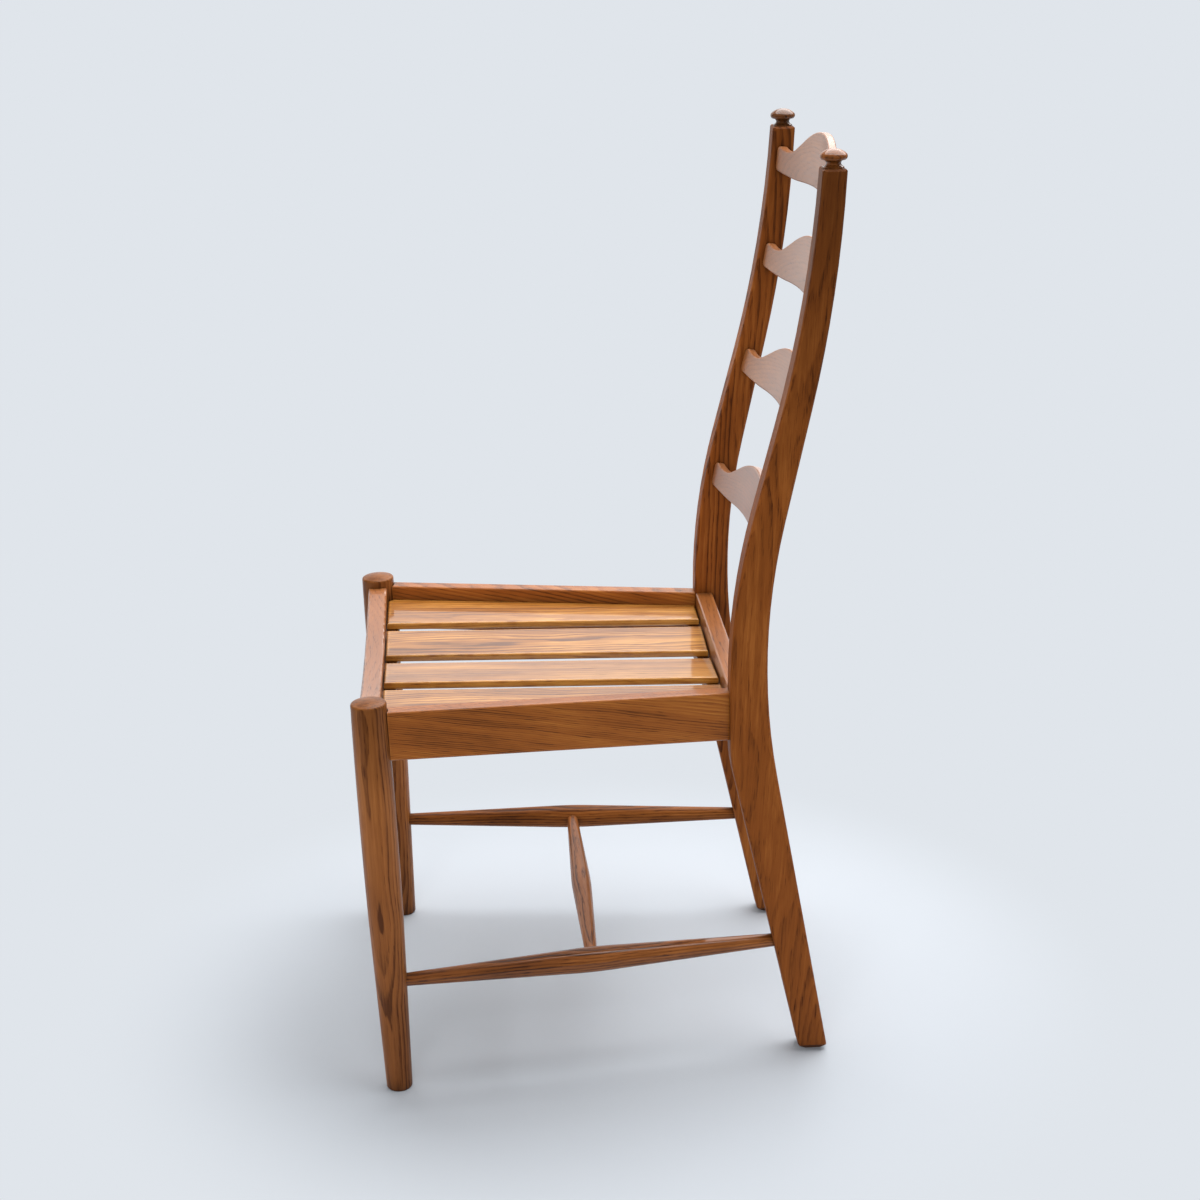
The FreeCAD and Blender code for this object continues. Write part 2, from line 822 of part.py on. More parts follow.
def rail_joints(side):
    """Mouths of the rail joints on one side, with the Z axis out of the leg or post, by rail."""
    half = value("rail_height") / 2
    place = side_rail_place(side)
    front, rear = side_rail_ends(side)
    along = place.Rotation.multVec(ACROSS)
    down = place.Rotation.multVec(UP) * -half
    out = leg_seat_radius().number
    wide, close = value("dowel_wide_pitch"), value("dowel_close_pitch")
    front_top = rail_top_at(-value("leg_front"))
    rear_middle = (rear_rail_front_y() + S["rear_rail_thickness"] / 2).number
    front_centre = Vector(side * (value("leg_top_out") - out), -value("leg_front"), front_top - half)
    rear_centre = Vector(side * POST_INNER.number, rear_middle, rail_top_at(POST_FLAT_Y.number) - half)
    return {
        "leg_side": (front + along * out + down, along, wide),
        "post_side": (rear + down, -along, wide),
        "leg_front": (front_centre, ACROSS * -side, close),
        "post_rear": (rear_centre, ACROSS * -side, close),
    }


def dowel_mouths(side, joint):
    centre, out, pitch = rail_joints(side)[joint]
    return [frame_at(centre + UP * (pitch / 2 * step), out, UP) for step in (-1, 1)]


def drill_for_dowels(body, side, joint, in_rail):
    """Drills a rail, or the leg or post that it meets, for the dowels of a joint."""
    depth = S["dowel_in_leg"]
    if in_rail:
        depth = S["dowel_length"] - depth
    for mouth in dowel_mouths(side, joint):
        if in_rail:
            mouth = mouth.multiply(Placement(Vector(), Rotation(ACROSS, 180)))
        bore(body, mouth, S["dowel_diameter"] + GAP * 2, depth + GAP * 2)


def build_dowel_blank():
    """A dowel with chamfered ends, whose origin is on the face that it crosses."""
    blank = new_body("dowel_blank")
    radius, chamfer = S["dowel_diameter"] / 2, S["dowel_chamfer"]
    low, high = -S["dowel_in_leg"], S["dowel_length"] - S["dowel_in_leg"]
    sketch = new_sketch(blank, "XZ_Plane")
    closed_outline(sketch, [
        (0, low),
        (radius - chamfer, low),
        (radius, low + chamfer),
        (radius, high - chamfer),
        (radius - chamfer, high),
        (0, high),
    ])
    revolve(blank, sketch)
    return blank


def build_group(label, blank, places):
    """Copies of one blank as separate solids of one node."""
    group = doc.addObject("Part::Feature", label)
    group.Label = label
    solids = []
    for place in places:
        solid = blank.Shape.Solids[0].copy()
        solid.Placement = place.multiply(solid.Placement)
        solids.append(solid)
    group.Shape = Part.makeCompound(solids)
    group.Placement = Placement()
    return group


# Seat slats and cleats


def seat_front_y():
    return S["front_rail_thickness"] / 2 - S["leg_front"]


def seat_length():
    """From the front rail's inner face to the rear rail's, along the slope of the seat."""
    return (rear_rail_front_y() - seat_front_y()) / cosine(S["seat_slope"])


def seat_place():
    """Top of the outer slats at the front rail, with the Y axis down the slope of the seat."""
    front = seat_front_y().number
    level = rail_top_at(front) - value("slat_drop")
    return Placement(Vector(0, front, level), Rotation(ACROSS, -value("seat_slope")))


def inner_slat_edges():
    return S["slat_gap"] / 2, S["slat_gap"] / 2 + S["slat_width"]


def outer_slat_edge():
    return inner_slat_edges()[1] + S["slat_outer_gap"]


def dip_start():
    """Distance from the centre line at which the seat starts to dip."""
    return inner_slat_edges()[1] + S["slat_gap"] / 2


def side_rail_inner_x(along_seat):
    """Inner face of the side rail at a distance along the seat."""
    front, rear = side_rail_ends(1)
    run = rear.y - front.y
    yaw = math.atan2(front.x - rear.x, run)
    rearward = seat_front_y().number + along_seat * math.cos(math.radians(value("seat_slope")))
    centre = front.x + (rear.x - front.x) * (rearward - front.y) / run
    return centre - value("side_rail_thickness") / 2 / math.cos(yaw)


def slat_numbers():
    """Slat 1 is the leftmost. Each slat has its side and tells whether it is an outer one."""
    return {1: (1, True), 2: (1, False), 3: (-1, False), 4: (-1, True)}


def slat_place(side, outer):
    if outer:
        return seat_place()
    low, high = inner_slat_edges()
    centre = (low + high) / 2
    tilt = math.degrees(math.atan2(value("slat_dip"), dip_start().number))
    drop = value("slat_dip") * (1 - centre.number / dip_start().number)
    lean = Placement(Vector(side * centre.number, 0, -drop), Rotation(REARWARD, -side * tilt))
    return seat_place().multiply(lean)


def build_slat(number, side, outer):
    body = new_body("seat_slat_%d" % number, slat_place(side, outer))
    start, end = S["slat_end_gap"], seat_length() - S["slat_end_gap"]
    plan = new_sketch(body, "XY_Plane")
    if outer:
        inner = outer_slat_edge()
        gap = S["slat_side_gap"]
        wide = as_size(side_rail_inner_x(start.number)) - gap
        narrow = as_size(side_rail_inner_x(end.number)) - gap
        corners = [(inner, start), (wide, start), (narrow, end), (inner, end)]
        closed_outline(plan, [(corner[0] * side, corner[1]) for corner in corners])
    else:
        half = S["slat_width"] / 2
        closed_outline(plan, [(-half, start), (half, start), (half, end), (-half, end)])
    pad(body, plan, S["slat_thickness"], backwards=True)
    if outer:
        cope(body, leg_place(side), leg_seat_radius() + S["slat_notch_gap"])
    round_edges(body, lambda edge: abs(edge.Vertexes[0].Point.z - edge.Vertexes[-1].Point.z) < 1,
                S["slat_edge_round"])
    return body


def slat_underside(rearward):
    """Level of the outer slats' underside."""
    along = (rearward - seat_front_y().number) / math.cos(math.radians(value("seat_slope")))
    return seat_place().multVec(Vector(0, along, -value("slat_thickness"))).z


def cleat_half_length(front):
    if front:
        return S["leg_top_out"] - leg_seat_radius() - S["cleat_end_gap"]
    return POST_INNER - S["cleat_end_gap"]


def cleat_place(front):
    """Top of a cleat on its rail's inner face, with the Y axis away from the rail."""
    if front:
        face = seat_front_y().number
        level = slat_underside(face + value("cleat_width")) - value("fit_gap")
        return Placement(Vector(0, face, level), Rotation())
    face = rear_rail_front_y().number
    return Placement(Vector(0, face, slat_underside(face) - value("fit_gap")), Rotation(UP, 180))


def build_cleat(label, front):
    body = new_body(label, cleat_place(front))
    half, start = cleat_half_length(front), dip_start()
    dip, height = S["slat_dip"], S["cleat_height"]
    face = new_sketch(body, "XZ_Plane")
    closed_outline(face, [
        (-half, -height),
        (half, -height),
        (half, 0),
        (start, 0),
        (0, -dip),
        (-start, 0),
        (-half, 0),
    ])
    pad(body, face, S["cleat_width"], backwards=True)
    return body


# Screws


def build_screw_blank(label, length):
    """A countersunk slotted screw with its head at the origin, pointing down."""
    blank = new_body(label)
    head, shank = S["screw_head_diameter"] / 2, S["screw_diameter"] / 2
    cone = head - shank
    sketch = new_sketch(blank, "XZ_Plane")
    closed_outline(sketch, [
        (0, -length),
        (shank, -length + S["screw_diameter"]),
        (shank, -cone),
        (head, 0),
        (0, 0),
    ])
    revolve(blank, sketch)
    slot = new_sketch(blank, "XY_Plane")
    rectangle(slot, S["screw_head_diameter"] * 2, S["screw_slot_width"])
    pocket(blank, slot, S["screw_slot_depth"])
    return blank


def countersink(body, place):
    """Cone for a screw's head. The place is the mouth, with its Z axis out of the wood."""
    head, shank = S["screw_head_diameter"] / 2, S["screw_diameter"] / 2
    cone = head - shank
    feature = body.newObject("PartDesign::SubtractiveCone", body.Name + "_countersink")
    origin_plane = [item for item in body.Origin.OriginFeatures if item.Role == "XY_Plane"][0]
    feature.AttachmentSupport = [(origin_plane, "")]
    feature.MapMode = "FlatFace"
    feature.AttachmentOffset = inside(body, mouth_above(place, -cone.number))
    feature.setExpression("Radius1", (shank + GAP).text)
    feature.setExpression("Radius2", (head + GAP).text)
    feature.setExpression("Height", cone.text)
    body.Tip = feature
    doc.recompute()


def slat_screw_places(front):
    """Heads of the slat screws under one cleat, pointing up."""
    level = cleat_place(front).Base.z - value("cleat_height")
    offset = value("cleat_width") / 2
    rearward = cleat_place(front).Base.y + (offset if front else -offset)
    low, high = inner_slat_edges()
    along = rearward - seat_front_y().number
    outer = (outer_slat_edge().number + side_rail_inner_x(along)) / 2
    inner = ((low + high) / 2).number
    places = {}
    for number, (side, is_outer) in slat_numbers().items():
        across = side * (outer if is_outer else inner)
        places[number] = frame_at(Vector(across, rearward, level), -UP, ACROSS)
    return places


def cleat_screw_places(front):
    """Heads of the screws through one cleat into its rail."""
    base = cleat_place(front)
    middle = (value("cleat_height") + value("slat_dip")) / 2
    places = []
    for step in (-1, 0, 1):
        head = Vector(step * value("cleat_screw_pitch"), value("cleat_width"), -middle)
        places.append(base.multiply(frame_at(head, REARWARD, UP)))
    return places


# Stretchers


def side_stretcher_ends(side):
    """Where a side stretcher leaves the leg's round and meets the post's front face."""
    level = value("stretcher_rear_level")
    rear = Vector(side * value("post_out"), edge_at(FRONT_EDGE, level), level)
    start = leg_axis_at(side, value("stretcher_front_level"))
    direction = (rear - start).normalize()
    return start + direction * leg_radius_at(value("stretcher_front_level")), rear


def turned_outline(length, end, belly, tenon):
    """Half section of a spindle: straight tapers from each end to a rounded belly."""
    half, round_half = length / 2, S["stretcher_belly_half"]
    slope = (belly - end) / (half - round_half / 2)
    edge = end + slope * (half - round_half)
    radius = round_half * root(slope * slope + 1) / slope
    return [
        (0, -tenon),
        (end, -tenon),
        (end, 0),
        (edge, half - round_half, radius),
        (edge, half + round_half),
        (end, length),
        (end, length + tenon),
        (0, length + tenon),
    ]


def build_spindle(label, start, finish, end, belly, tenon):
    body = new_body(label, frame_at(start, finish - start, UP))
    length = as_size((finish - start).Length)
    sketch = new_sketch(body, "XZ_Plane")
    closed_outline(sketch, turned_outline(length, end / 2, belly / 2, tenon))
    revolve(body, sketch)
    return body


def cross_stretcher_end(side):
    """Where the cross stretcher meets the belly of a side stretcher."""
    front, rear = side_stretcher_ends(side)
    return (front + rear) * 0.5 - ACROSS * (side * value("stretcher_belly_diameter") / 2)


def join_side_stretcher(leg, post, side):
    front, rear = side_stretcher_ends(side)
    direction = (rear - front).normalize()
    diameter, depth = S["stretcher_end_diameter"] + GAP * 2, S["stretcher_tenon"] + GAP * 2
    bore(leg, frame_at(front, direction, UP), diameter, depth)
    bore(post, frame_at(rear, -direction, UP), diameter, depth)


def join_cross_stretcher(stretcher, side):
    mouth = frame_at(cross_stretcher_end(side), ACROSS * -side, UP)
    bore(stretcher, mouth, S["cross_end_diameter"] + GAP * 2, S["cross_tenon"] + GAP * 2)


# The chair

pieces = []
for name, side in SIDES.items():
    leg = build_front_leg(name, side)
    post = build_rear_post(name, side)
    rail = build_side_rail(name, side)
    front, rear = side_stretcher_ends(side)
    stretcher = build_spindle("side_stretcher_" + name, front, rear, S["stretcher_end_diameter"],
                              S["stretcher_belly_diameter"], S["stretcher_tenon"])
    join_side_stretcher(leg, post, side)
    join_cross_stretcher(stretcher, side)
    join_finial(post, side)
    for number in RUNG_NUMBERS:
        join_rung(post, side, number)
    drill_for_dowels(leg, side, "leg_side", in_rail=False)
    drill_for_dowels(leg, side, "leg_front", in_rail=False)
    drill_for_dowels(post, side, "post_side", in_rail=False)
    drill_for_dowels(post, side, "post_rear", in_rail=False)
    drill_for_dowels(rail, side, "leg_side", in_rail=True)
    drill_for_dowels(rail, side, "post_side", in_rail=True)
    pieces += [leg, post, rail, stretcher, build_finial(name, side)]

front_rail = build_front_rail()
rear_rail = build_rear_rail()
for side in SIDES.values():
    drill_for_dowels(front_rail, side, "leg_front", in_rail=True)
    drill_for_dowels(rear_rail, side, "post_rear", in_rail=True)

for number in RUNG_NUMBERS:
    pieces.append(build_rung(number))

slats = {number: build_slat(number, *kind) for number, kind in slat_numbers().items()}
cleats = {True: build_cleat("front_cleat", True), False: build_cleat("rear_cleat", False)}
shank_hole = S["screw_diameter"] + GAP * 2
for front, rail in ((True, front_rail), (False, rear_rail)):
    cleat = cleats[front]
    for number, place in slat_screw_places(front).items():
        bore(cleat, place, shank_hole, S["cleat_height"] + GAP)
        countersink(cleat, place)
        bore(slats[number], place, shank_hole, S["slat_screw_length"] + GAP * 2)
    for place in cleat_screw_places(front):
        bore(cleat, place, shank_hole, S["cleat_width"])
        countersink(cleat, place)
        bore(rail, place, shank_hole, S["cleat_screw_length"] + GAP * 2)

cross_ends = [cross_stretcher_end(side) for side in (-1, 1)]
pieces.append(build_spindle("cross_stretcher", cross_ends[0], cross_ends[1], S["cross_end_diameter"],
                            S["cross_belly_diameter"], S["cross_tenon"]))

dowel = build_dowel_blank()
side_joints = ("leg_side", "post_side")
groups = {"side_rail_dowels": side_joints, "front_rail_dowels": ("leg_front",),
          "rear_rail_dowels": ("post_rear",)}
for label, joints in groups.items():
    places = [mouth for side in SIDES.values() for joint in joints for mouth in dowel_mouths(side, joint)]
    pieces.append(build_group(label, dowel, places))

slat_screw = build_screw_blank("slat_screw_blank", S["slat_screw_length"])
cleat_screw = build_screw_blank("cleat_screw_blank", S["cleat_screw_length"])
slat_places = [place for front in (True, False) for place in slat_screw_places(front).values()]
cleat_places = [place for front in (True, False) for place in cleat_screw_places(front)]
pieces.append(build_group("slat_screws", slat_screw, slat_places))
pieces.append(build_group("cleat_screws", cleat_screw, cleat_places))
pieces += [front_rail, rear_rail] + list(slats.values()) + list(cleats.values())

doc.recompute()
for item in doc.Objects:
    if "Invalid" in item.State or "Error" in item.State:
        raise ValueError("failed: " + item.Label)
for piece in pieces:
    if piece.Shape.isNull() or not piece.Shape.isValid():
        raise ValueError("bad shape: " + piece.Label)
    piece.Shape.exportStep("parts/%s.step" % piece.Label)
    print(piece.Label, len(piece.Shape.Solids), "solids", round(piece.Shape.Volume), "mm3")
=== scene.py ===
import math

import bpy
from mathutils import Matrix, Vector


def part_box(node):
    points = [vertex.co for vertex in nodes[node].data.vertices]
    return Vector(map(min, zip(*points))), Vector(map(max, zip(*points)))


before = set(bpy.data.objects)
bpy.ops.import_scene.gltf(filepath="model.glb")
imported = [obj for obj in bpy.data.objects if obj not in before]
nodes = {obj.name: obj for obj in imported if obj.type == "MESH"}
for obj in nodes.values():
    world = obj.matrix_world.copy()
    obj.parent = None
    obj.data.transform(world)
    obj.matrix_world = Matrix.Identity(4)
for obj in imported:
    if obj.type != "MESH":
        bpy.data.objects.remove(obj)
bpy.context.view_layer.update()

# Node tree helpers


class Tree:
    """Adds nodes to a tree. A socket argument is a node's output, a number or a tuple."""

    def __init__(self, tree):
        self.tree = tree

    def add(self, kind, **settings):
        new = self.tree.nodes.new(kind)
        for name, setting in settings.items():
            setattr(new, name, setting)
        return new

    def plug(self, socket, source):
        if source is None:
            return
        if isinstance(source, bpy.types.NodeSocket):
            self.tree.links.new(source, socket)
        else:
            socket.default_value = source

    def math(self, operation, first, second=None, third=None, clamp=False):
        new = self.add("ShaderNodeMath", operation=operation, use_clamp=clamp)
        for index, source in enumerate((first, second, third)):
            self.plug(new.inputs[index], source)
        return new.outputs[0]

    def vector(self, operation, first, second=None, scale=None):
        new = self.add("ShaderNodeVectorMath", operation=operation)
        self.plug(new.inputs[0], first)
        self.plug(new.inputs[1], second)
        if scale is not None:
            self.plug(new.inputs["Scale"], scale)
        return new.outputs["Value"] if operation in ("LENGTH", "DOT_PRODUCT") else new.outputs[0]

    def noise(self, vector, scale, detail=2.0, roughness=0.5, colour=False):
        """Noise of a vector that is first multiplied by scale, a tuple. With colour, three."""
        new = self.add("ShaderNodeTexNoise", noise_dimensions="3D")
        self.plug(new.inputs["Vector"], self.vector("MULTIPLY", vector, scale))
        new.inputs["Scale"].default_value = 1.0
        new.inputs["Detail"].default_value = detail
        new.inputs["Roughness"].default_value = roughness
        return new.outputs["Color" if colour else "Fac"]

    def ramp(self, factor, stops, interpolation="LINEAR"):
        """A grey for each of the stops, which are pairs of a position and a value."""
        new = self.add("ShaderNodeValToRGB")
        new.color_ramp.interpolation = interpolation
        elements = new.color_ramp.elements
        while len(elements) < len(stops):
            elements.new(0.5)
        for element, (position, value) in zip(elements, stops):
            element.position = position
            element.color = (value, value, value, 1)
        self.plug(new.inputs[0], factor)
        return new.outputs[0]

    def between(self, value, low, high, to_low=0.0, to_high=1.0):
        """A soft step, from to_low where the value is low to to_high where it is high."""
        new = self.add("ShaderNodeMapRange", interpolation_type="SMOOTHSTEP")
        for index, source in enumerate((value, low, high, to_low, to_high)):
            self.plug(new.inputs[index], source)
        return new.outputs[0]

    def mix(self, factor, first, second, blend="MIX"):
        new = self.add("ShaderNodeMix", data_type="RGBA", blend_type=blend)
        self.plug(new.inputs["Factor"], factor)
        self.plug(new.inputs["A"], first)
        self.plug(new.inputs["B"], second)
        return new.outputs["Result"]


def linear(red, green, blue):
    """A colour given as it shows on a screen, 0 to 255, in the renderer's own scale."""
    def channel(value):
        share = value / 255
        return share / 12.92 if share <= 0.04045 else ((share + 0.055) / 1.055) ** 2.4
    return channel(red), channel(green), channel(blue), 1.0


# Wood. The grain runs along the local X axis of each piece. Ring, pore and pith lengths are in
# millimetres, and all others in metres.

ACROSS_GRAIN = (0, 1, 1)
# Noise scales along the grain and across it, per millimetre
SLOW_WANDER = (0.0045, 0.02, 0.02)
QUICK_WANDER = (0.02, 0.16, 0.16)
QUICK_REACH = (0, 1.8, 1.8)
PORE_SCALE = (0.045, 1.15, 1.15)
FIBRE_SCALE = (0.012, 0.55, 0.55)
STREAK_SCALE = (0.003, 0.09, 0.09)
BLOTCH_SCALE = (0.008, 0.02, 0.02)
# The last one makes the lighter edges ragged, which are worn stain and painted highlight
WEAR_AND_HIGHLIGHT_SCALE = (0.05, 0.12, 0.12)
# How much each of them changes the tone, which goes from 0 dark to 1 light
PLAIN_TONE = 0.66
RING_TONE, FIBRE_TONE, STREAK_TONE, BLOTCH_TONE, PORE_TONE = -0.62, 0.20, 0.30, 0.26, -0.55
# How porous a year's growth is, from the start of its ring to the end
EARLY_WOOD = [(0.0, 0.25), (0.07, 1.0), (0.28, 0.8), (0.55, 0.2), (0.93, 0.0), (1.0, 0.25)]
LACQUER_IOR = 1.5
PORE_DULLNESS = 0.35
PORE_DEPTH = 0.0006
# Reach of the painted shade that ambient occlusion puts in creases and beside joints
JOINT_SHADOW_REACH = 0.02
# Waver and noise scale of the tone that changes with height above the floor
HEIGHT_TONE_WAVER = 0.08
HEIGHT_TONE_SCALE = (14, 14, 14)


def wood_group():
    """Rings, pores, fibres and blotches of a stained ring-porous wood."""
    group = bpy.data.node_groups.new("stained_wood", "ShaderNodeTree")
    for name, kind in (("Place", "NodeSocketVector"), ("Pith", "NodeSocketVector"),
                       ("Ring", "NodeSocketFloat"), ("Warp", "NodeSocketFloat"),
                       ("Figure", "NodeSocketFloat"), ("Pores", "NodeSocketFloat"),
                       ("Dark", "NodeSocketColor"), ("Middle", "NodeSocketColor"),
                       ("Light", "NodeSocketColor")):
        group.interface.new_socket(name, in_out="INPUT", socket_type=kind)
    for name, kind in (("Colour", "NodeSocketColor"), ("Sheen break", "NodeSocketFloat"),
                       ("Height", "NodeSocketFloat")):
        group.interface.new_socket(name, in_out="OUTPUT", socket_type=kind)
    tree = Tree(group)
    given = tree.add("NodeGroupInput").outputs
    place = given["Place"]

    def waver(scale, reach):
        """Sideways wandering of the rings, up to half the reach each way."""
        wander = tree.vector("SUBTRACT", tree.noise(place, scale, colour=True), (0.5, 0.5, 0.5))
        return tree.vector("MULTIPLY", wander, reach)

    slow = tree.vector("SCALE", waver(SLOW_WANDER, ACROSS_GRAIN), scale=given["Warp"])
    quick = waver(QUICK_WANDER, QUICK_REACH)
    bent = tree.vector("ADD", tree.vector("ADD", place, slow), quick)
    bent = tree.vector("MULTIPLY", tree.vector("ADD", bent, given["Pith"]), ACROSS_GRAIN)
    age = tree.math("DIVIDE", tree.vector("LENGTH", bent), given["Ring"])
    phase = tree.math("FRACT", age)
    early = tree.ramp(phase, EARLY_WOOD)
    year = tree.add("ShaderNodeTexWhiteNoise", noise_dimensions="1D")
    tree.plug(year.inputs["W"], tree.math("FLOOR", age))
    early = tree.math("MULTIPLY", early, tree.math("MULTIPLY_ADD", year.outputs["Value"], 0.6, 0.4))
    pores = tree.between(tree.noise(place, PORE_SCALE, 1.5, 0.6), 0.54, 0.66)
    pores = tree.math("MULTIPLY", pores, tree.math("MULTIPLY_ADD", early, 0.85, 0.15))
    pores = tree.math("MULTIPLY", pores, given["Pores"])
    fibre = tree.between(tree.noise(place, FIBRE_SCALE, 4, 0.62), 0.3, 0.7)
    streak = tree.between(tree.noise(place, STREAK_SCALE, 2, 0.5), 0.35, 0.65)
    blotch = tree.between(tree.noise(place, BLOTCH_SCALE, 3, 0.55), 0.3, 0.72)
    ring_tone = tree.math("MULTIPLY", given["Figure"], RING_TONE)
    tone = tree.math("MULTIPLY_ADD", early, ring_tone, PLAIN_TONE)
    streak_tone = tree.math("MULTIPLY", given["Figure"], STREAK_TONE)
    for pattern, strength in ((fibre, FIBRE_TONE), (streak, streak_tone), (blotch, BLOTCH_TONE)):
        tone = tree.math("MULTIPLY_ADD", tree.math("SUBTRACT", pattern, 0.5), strength, tone)
    tone = tree.math("MULTIPLY_ADD", pores, PORE_TONE, tone, clamp=True)
    low = tree.mix(tree.between(tone, 0.0, 0.55), given["Dark"], given["Middle"])
    colour = tree.mix(tree.between(tone, 0.5, 1.0), low, given["Light"])
    dull = tree.math("MULTIPLY_ADD", pores, 0.5, tree.math("MULTIPLY", fibre, 0.18))
    height = tree.math("MULTIPLY_ADD", pores, -1.0, tree.math("MULTIPLY", early, -0.18))
    height = tree.math("MULTIPLY_ADD", fibre, 0.1, height)
    out = tree.add("NodeGroupOutput")
    tree.plug(out.inputs["Colour"], colour)
    tree.plug(out.inputs["Sheen break"], dull)
    tree.plug(out.inputs["Height"], height)
    return group


WOOD = wood_group()


def local_frame(origin, along, face):
    """Rotation of a piece's own frame: X along the grain, Z out of its broad face."""
    x_axis = Vector(along).normalized()
    z_axis = (Vector(face) - x_axis * Vector(face).dot(x_axis)).normalized()
    turn = Matrix((x_axis, z_axis.cross(x_axis), z_axis)).transposed()
    return Vector(origin), turn.to_euler("XYZ")


def wood(name, origin, along, face, dark, middle, light, pith=(0, 30, 90), ring=3.2, warp=14.0,
         figure=1.0, pores=1.0, gloss=0.34, coat=0.4, coat_gloss=0.2, wear_and_highlight=0.35, bump=0.12,
         sheen=0.5, crease_shade_tone=0.45, wear_and_highlight_width=0.0035, height_tone=None):
    """One piece's wood, in screen colours. Its edges are lighter: worn stain and painted highlight.

    The origin is in the wood, along is the way of the grain and face is out of a broad face. The
    pith is where the middle of the tree would be, ring is the width of a year and warp is how far
    the rings wander. Figure and pores are strengths, and gloss, coat_gloss and sheen are the
    shader's roughness, coat roughness and specular level. Painted shade from ambient occlusion
    darkens the colour in creases and beside the joints, down to the crease shade tone. The height
    tone list holds heights above the floor, with how light the wood is there."""
    material = bpy.data.materials.new(name)
    material.use_nodes = True
    material.node_tree.nodes.clear()
    tree = Tree(material.node_tree)
    place = tree.add("ShaderNodeMapping", vector_type="TEXTURE")
    place.inputs["Location"].default_value, place.inputs["Rotation"].default_value = \
        local_frame(origin, along, face)
    spot = tree.add("ShaderNodeTexCoord").outputs["Object"]
    tree.plug(place.inputs["Vector"], spot)
    grain = tree.add("ShaderNodeGroup", node_tree=WOOD)
    millimetres = tree.vector("SCALE", place.outputs[0], scale=1000.0)
    tree.plug(grain.inputs["Place"], millimetres)
    for socket, value in (("Pith", pith), ("Ring", ring), ("Warp", warp), ("Figure", figure),
                          ("Pores", pores), ("Dark", linear(*dark)), ("Middle", linear(*middle)),
                          ("Light", linear(*light))):
        grain.inputs[socket].default_value = value
    # Edges lightened toward the light tone: partly worn stain, partly painted highlight
    bevel = tree.add("ShaderNodeBevel", samples=4)
    bevel.inputs["Radius"].default_value = wear_and_highlight_width
    geometry = tree.add("ShaderNodeNewGeometry")
    turn = tree.vector("DOT_PRODUCT", bevel.outputs[0], geometry.outputs["Normal"])
    edge = tree.between(turn, 0.995, 0.86)
    ragged = tree.between(tree.noise(millimetres, WEAR_AND_HIGHLIGHT_SCALE, 3), 0.3, 0.6)
    edge = tree.math("MULTIPLY", tree.math("MULTIPLY", edge, ragged), wear_and_highlight)
    colour = tree.mix(edge, grain.outputs["Colour"], linear(*light))
    # Painted shade: ambient occlusion darkens the colour in creases and beside joints, down to the
    # crease shade tone
    crease = tree.add("ShaderNodeAmbientOcclusion", samples=6)
    crease.inputs["Distance"].default_value = JOINT_SHADOW_REACH
    painted_shade = tree.between(crease.outputs["AO"], 0.35, 0.95, crease_shade_tone, 1.0)
    colour = tree.mix(1.0, colour, painted_shade, "MULTIPLY")
    # Lighter or darker by height above the floor, as the height tone list gives
    if height_tone:
        height = tree.add("ShaderNodeSeparateXYZ")
        tree.plug(height.inputs[0], spot)
        ripple = tree.noise(spot, HEIGHT_TONE_SCALE, 2)
        level = tree.math("MULTIPLY_ADD", ripple, HEIGHT_TONE_WAVER, height.outputs[2])
        level = tree.math("SUBTRACT", level, HEIGHT_TONE_WAVER / 2)
        shade = tree.ramp(level, height_tone, "EASE")
        colour = tree.mix(1.0, colour, shade, "MULTIPLY")
    shader = tree.add("ShaderNodeBsdfPrincipled")
    tree.plug(shader.inputs["Base Color"], colour)
    tree.plug(shader.inputs["Roughness"],
              tree.math("MULTIPLY_ADD", grain.outputs["Sheen break"], PORE_DULLNESS, gloss))
    shader.inputs["IOR"].default_value = LACQUER_IOR
    shader.inputs["Specular IOR Level"].default_value = sheen
    shader.inputs["Coat Weight"].default_value = coat
    shader.inputs["Coat Roughness"].default_value = coat_gloss
    relief = tree.add("ShaderNodeBump")
    relief.inputs["Strength"].default_value = bump
    relief.inputs["Distance"].default_value = PORE_DEPTH
    tree.plug(relief.inputs["Height"], grain.outputs["Height"])
    tree.plug(shader.inputs["Normal"], relief.outputs[0])
    tree.plug(tree.add("ShaderNodeOutputMaterial").inputs["Surface"], shader.outputs[0])
    return material


def dress(node, material):
    mesh = nodes[node].data
    mesh.materials.clear()
    mesh.materials.append(material)


# Tones, as screen colours from 0 to 255
BROWN = dict(dark=(88, 46, 17), middle=(148, 88, 42), light=(178, 112, 58))
POST_BROWN = dict(dark=(82, 40, 12), middle=(140, 76, 28), light=(172, 102, 44))
RAIL_BROWN = dict(dark=(90, 48, 16), middle=(158, 89, 34), light=(188, 118, 50))
HONEY = dict(dark=(100, 54, 12), middle=(164, 102, 32), light=(212, 150, 68))
SMOKED = dict(dark=(62, 30, 10), middle=(128, 72, 28), light=(168, 102, 48))
DEEP = dict(dark=(40, 20, 10), middle=(100, 58, 26), light=(144, 90, 44))
BARE = dict(dark=(150, 110, 72), middle=(196, 160, 116), light=(216, 184, 142))
UP, ACROSS, BACK = (0, 0, 1), (1, 0, 0), (0, 1, 0)

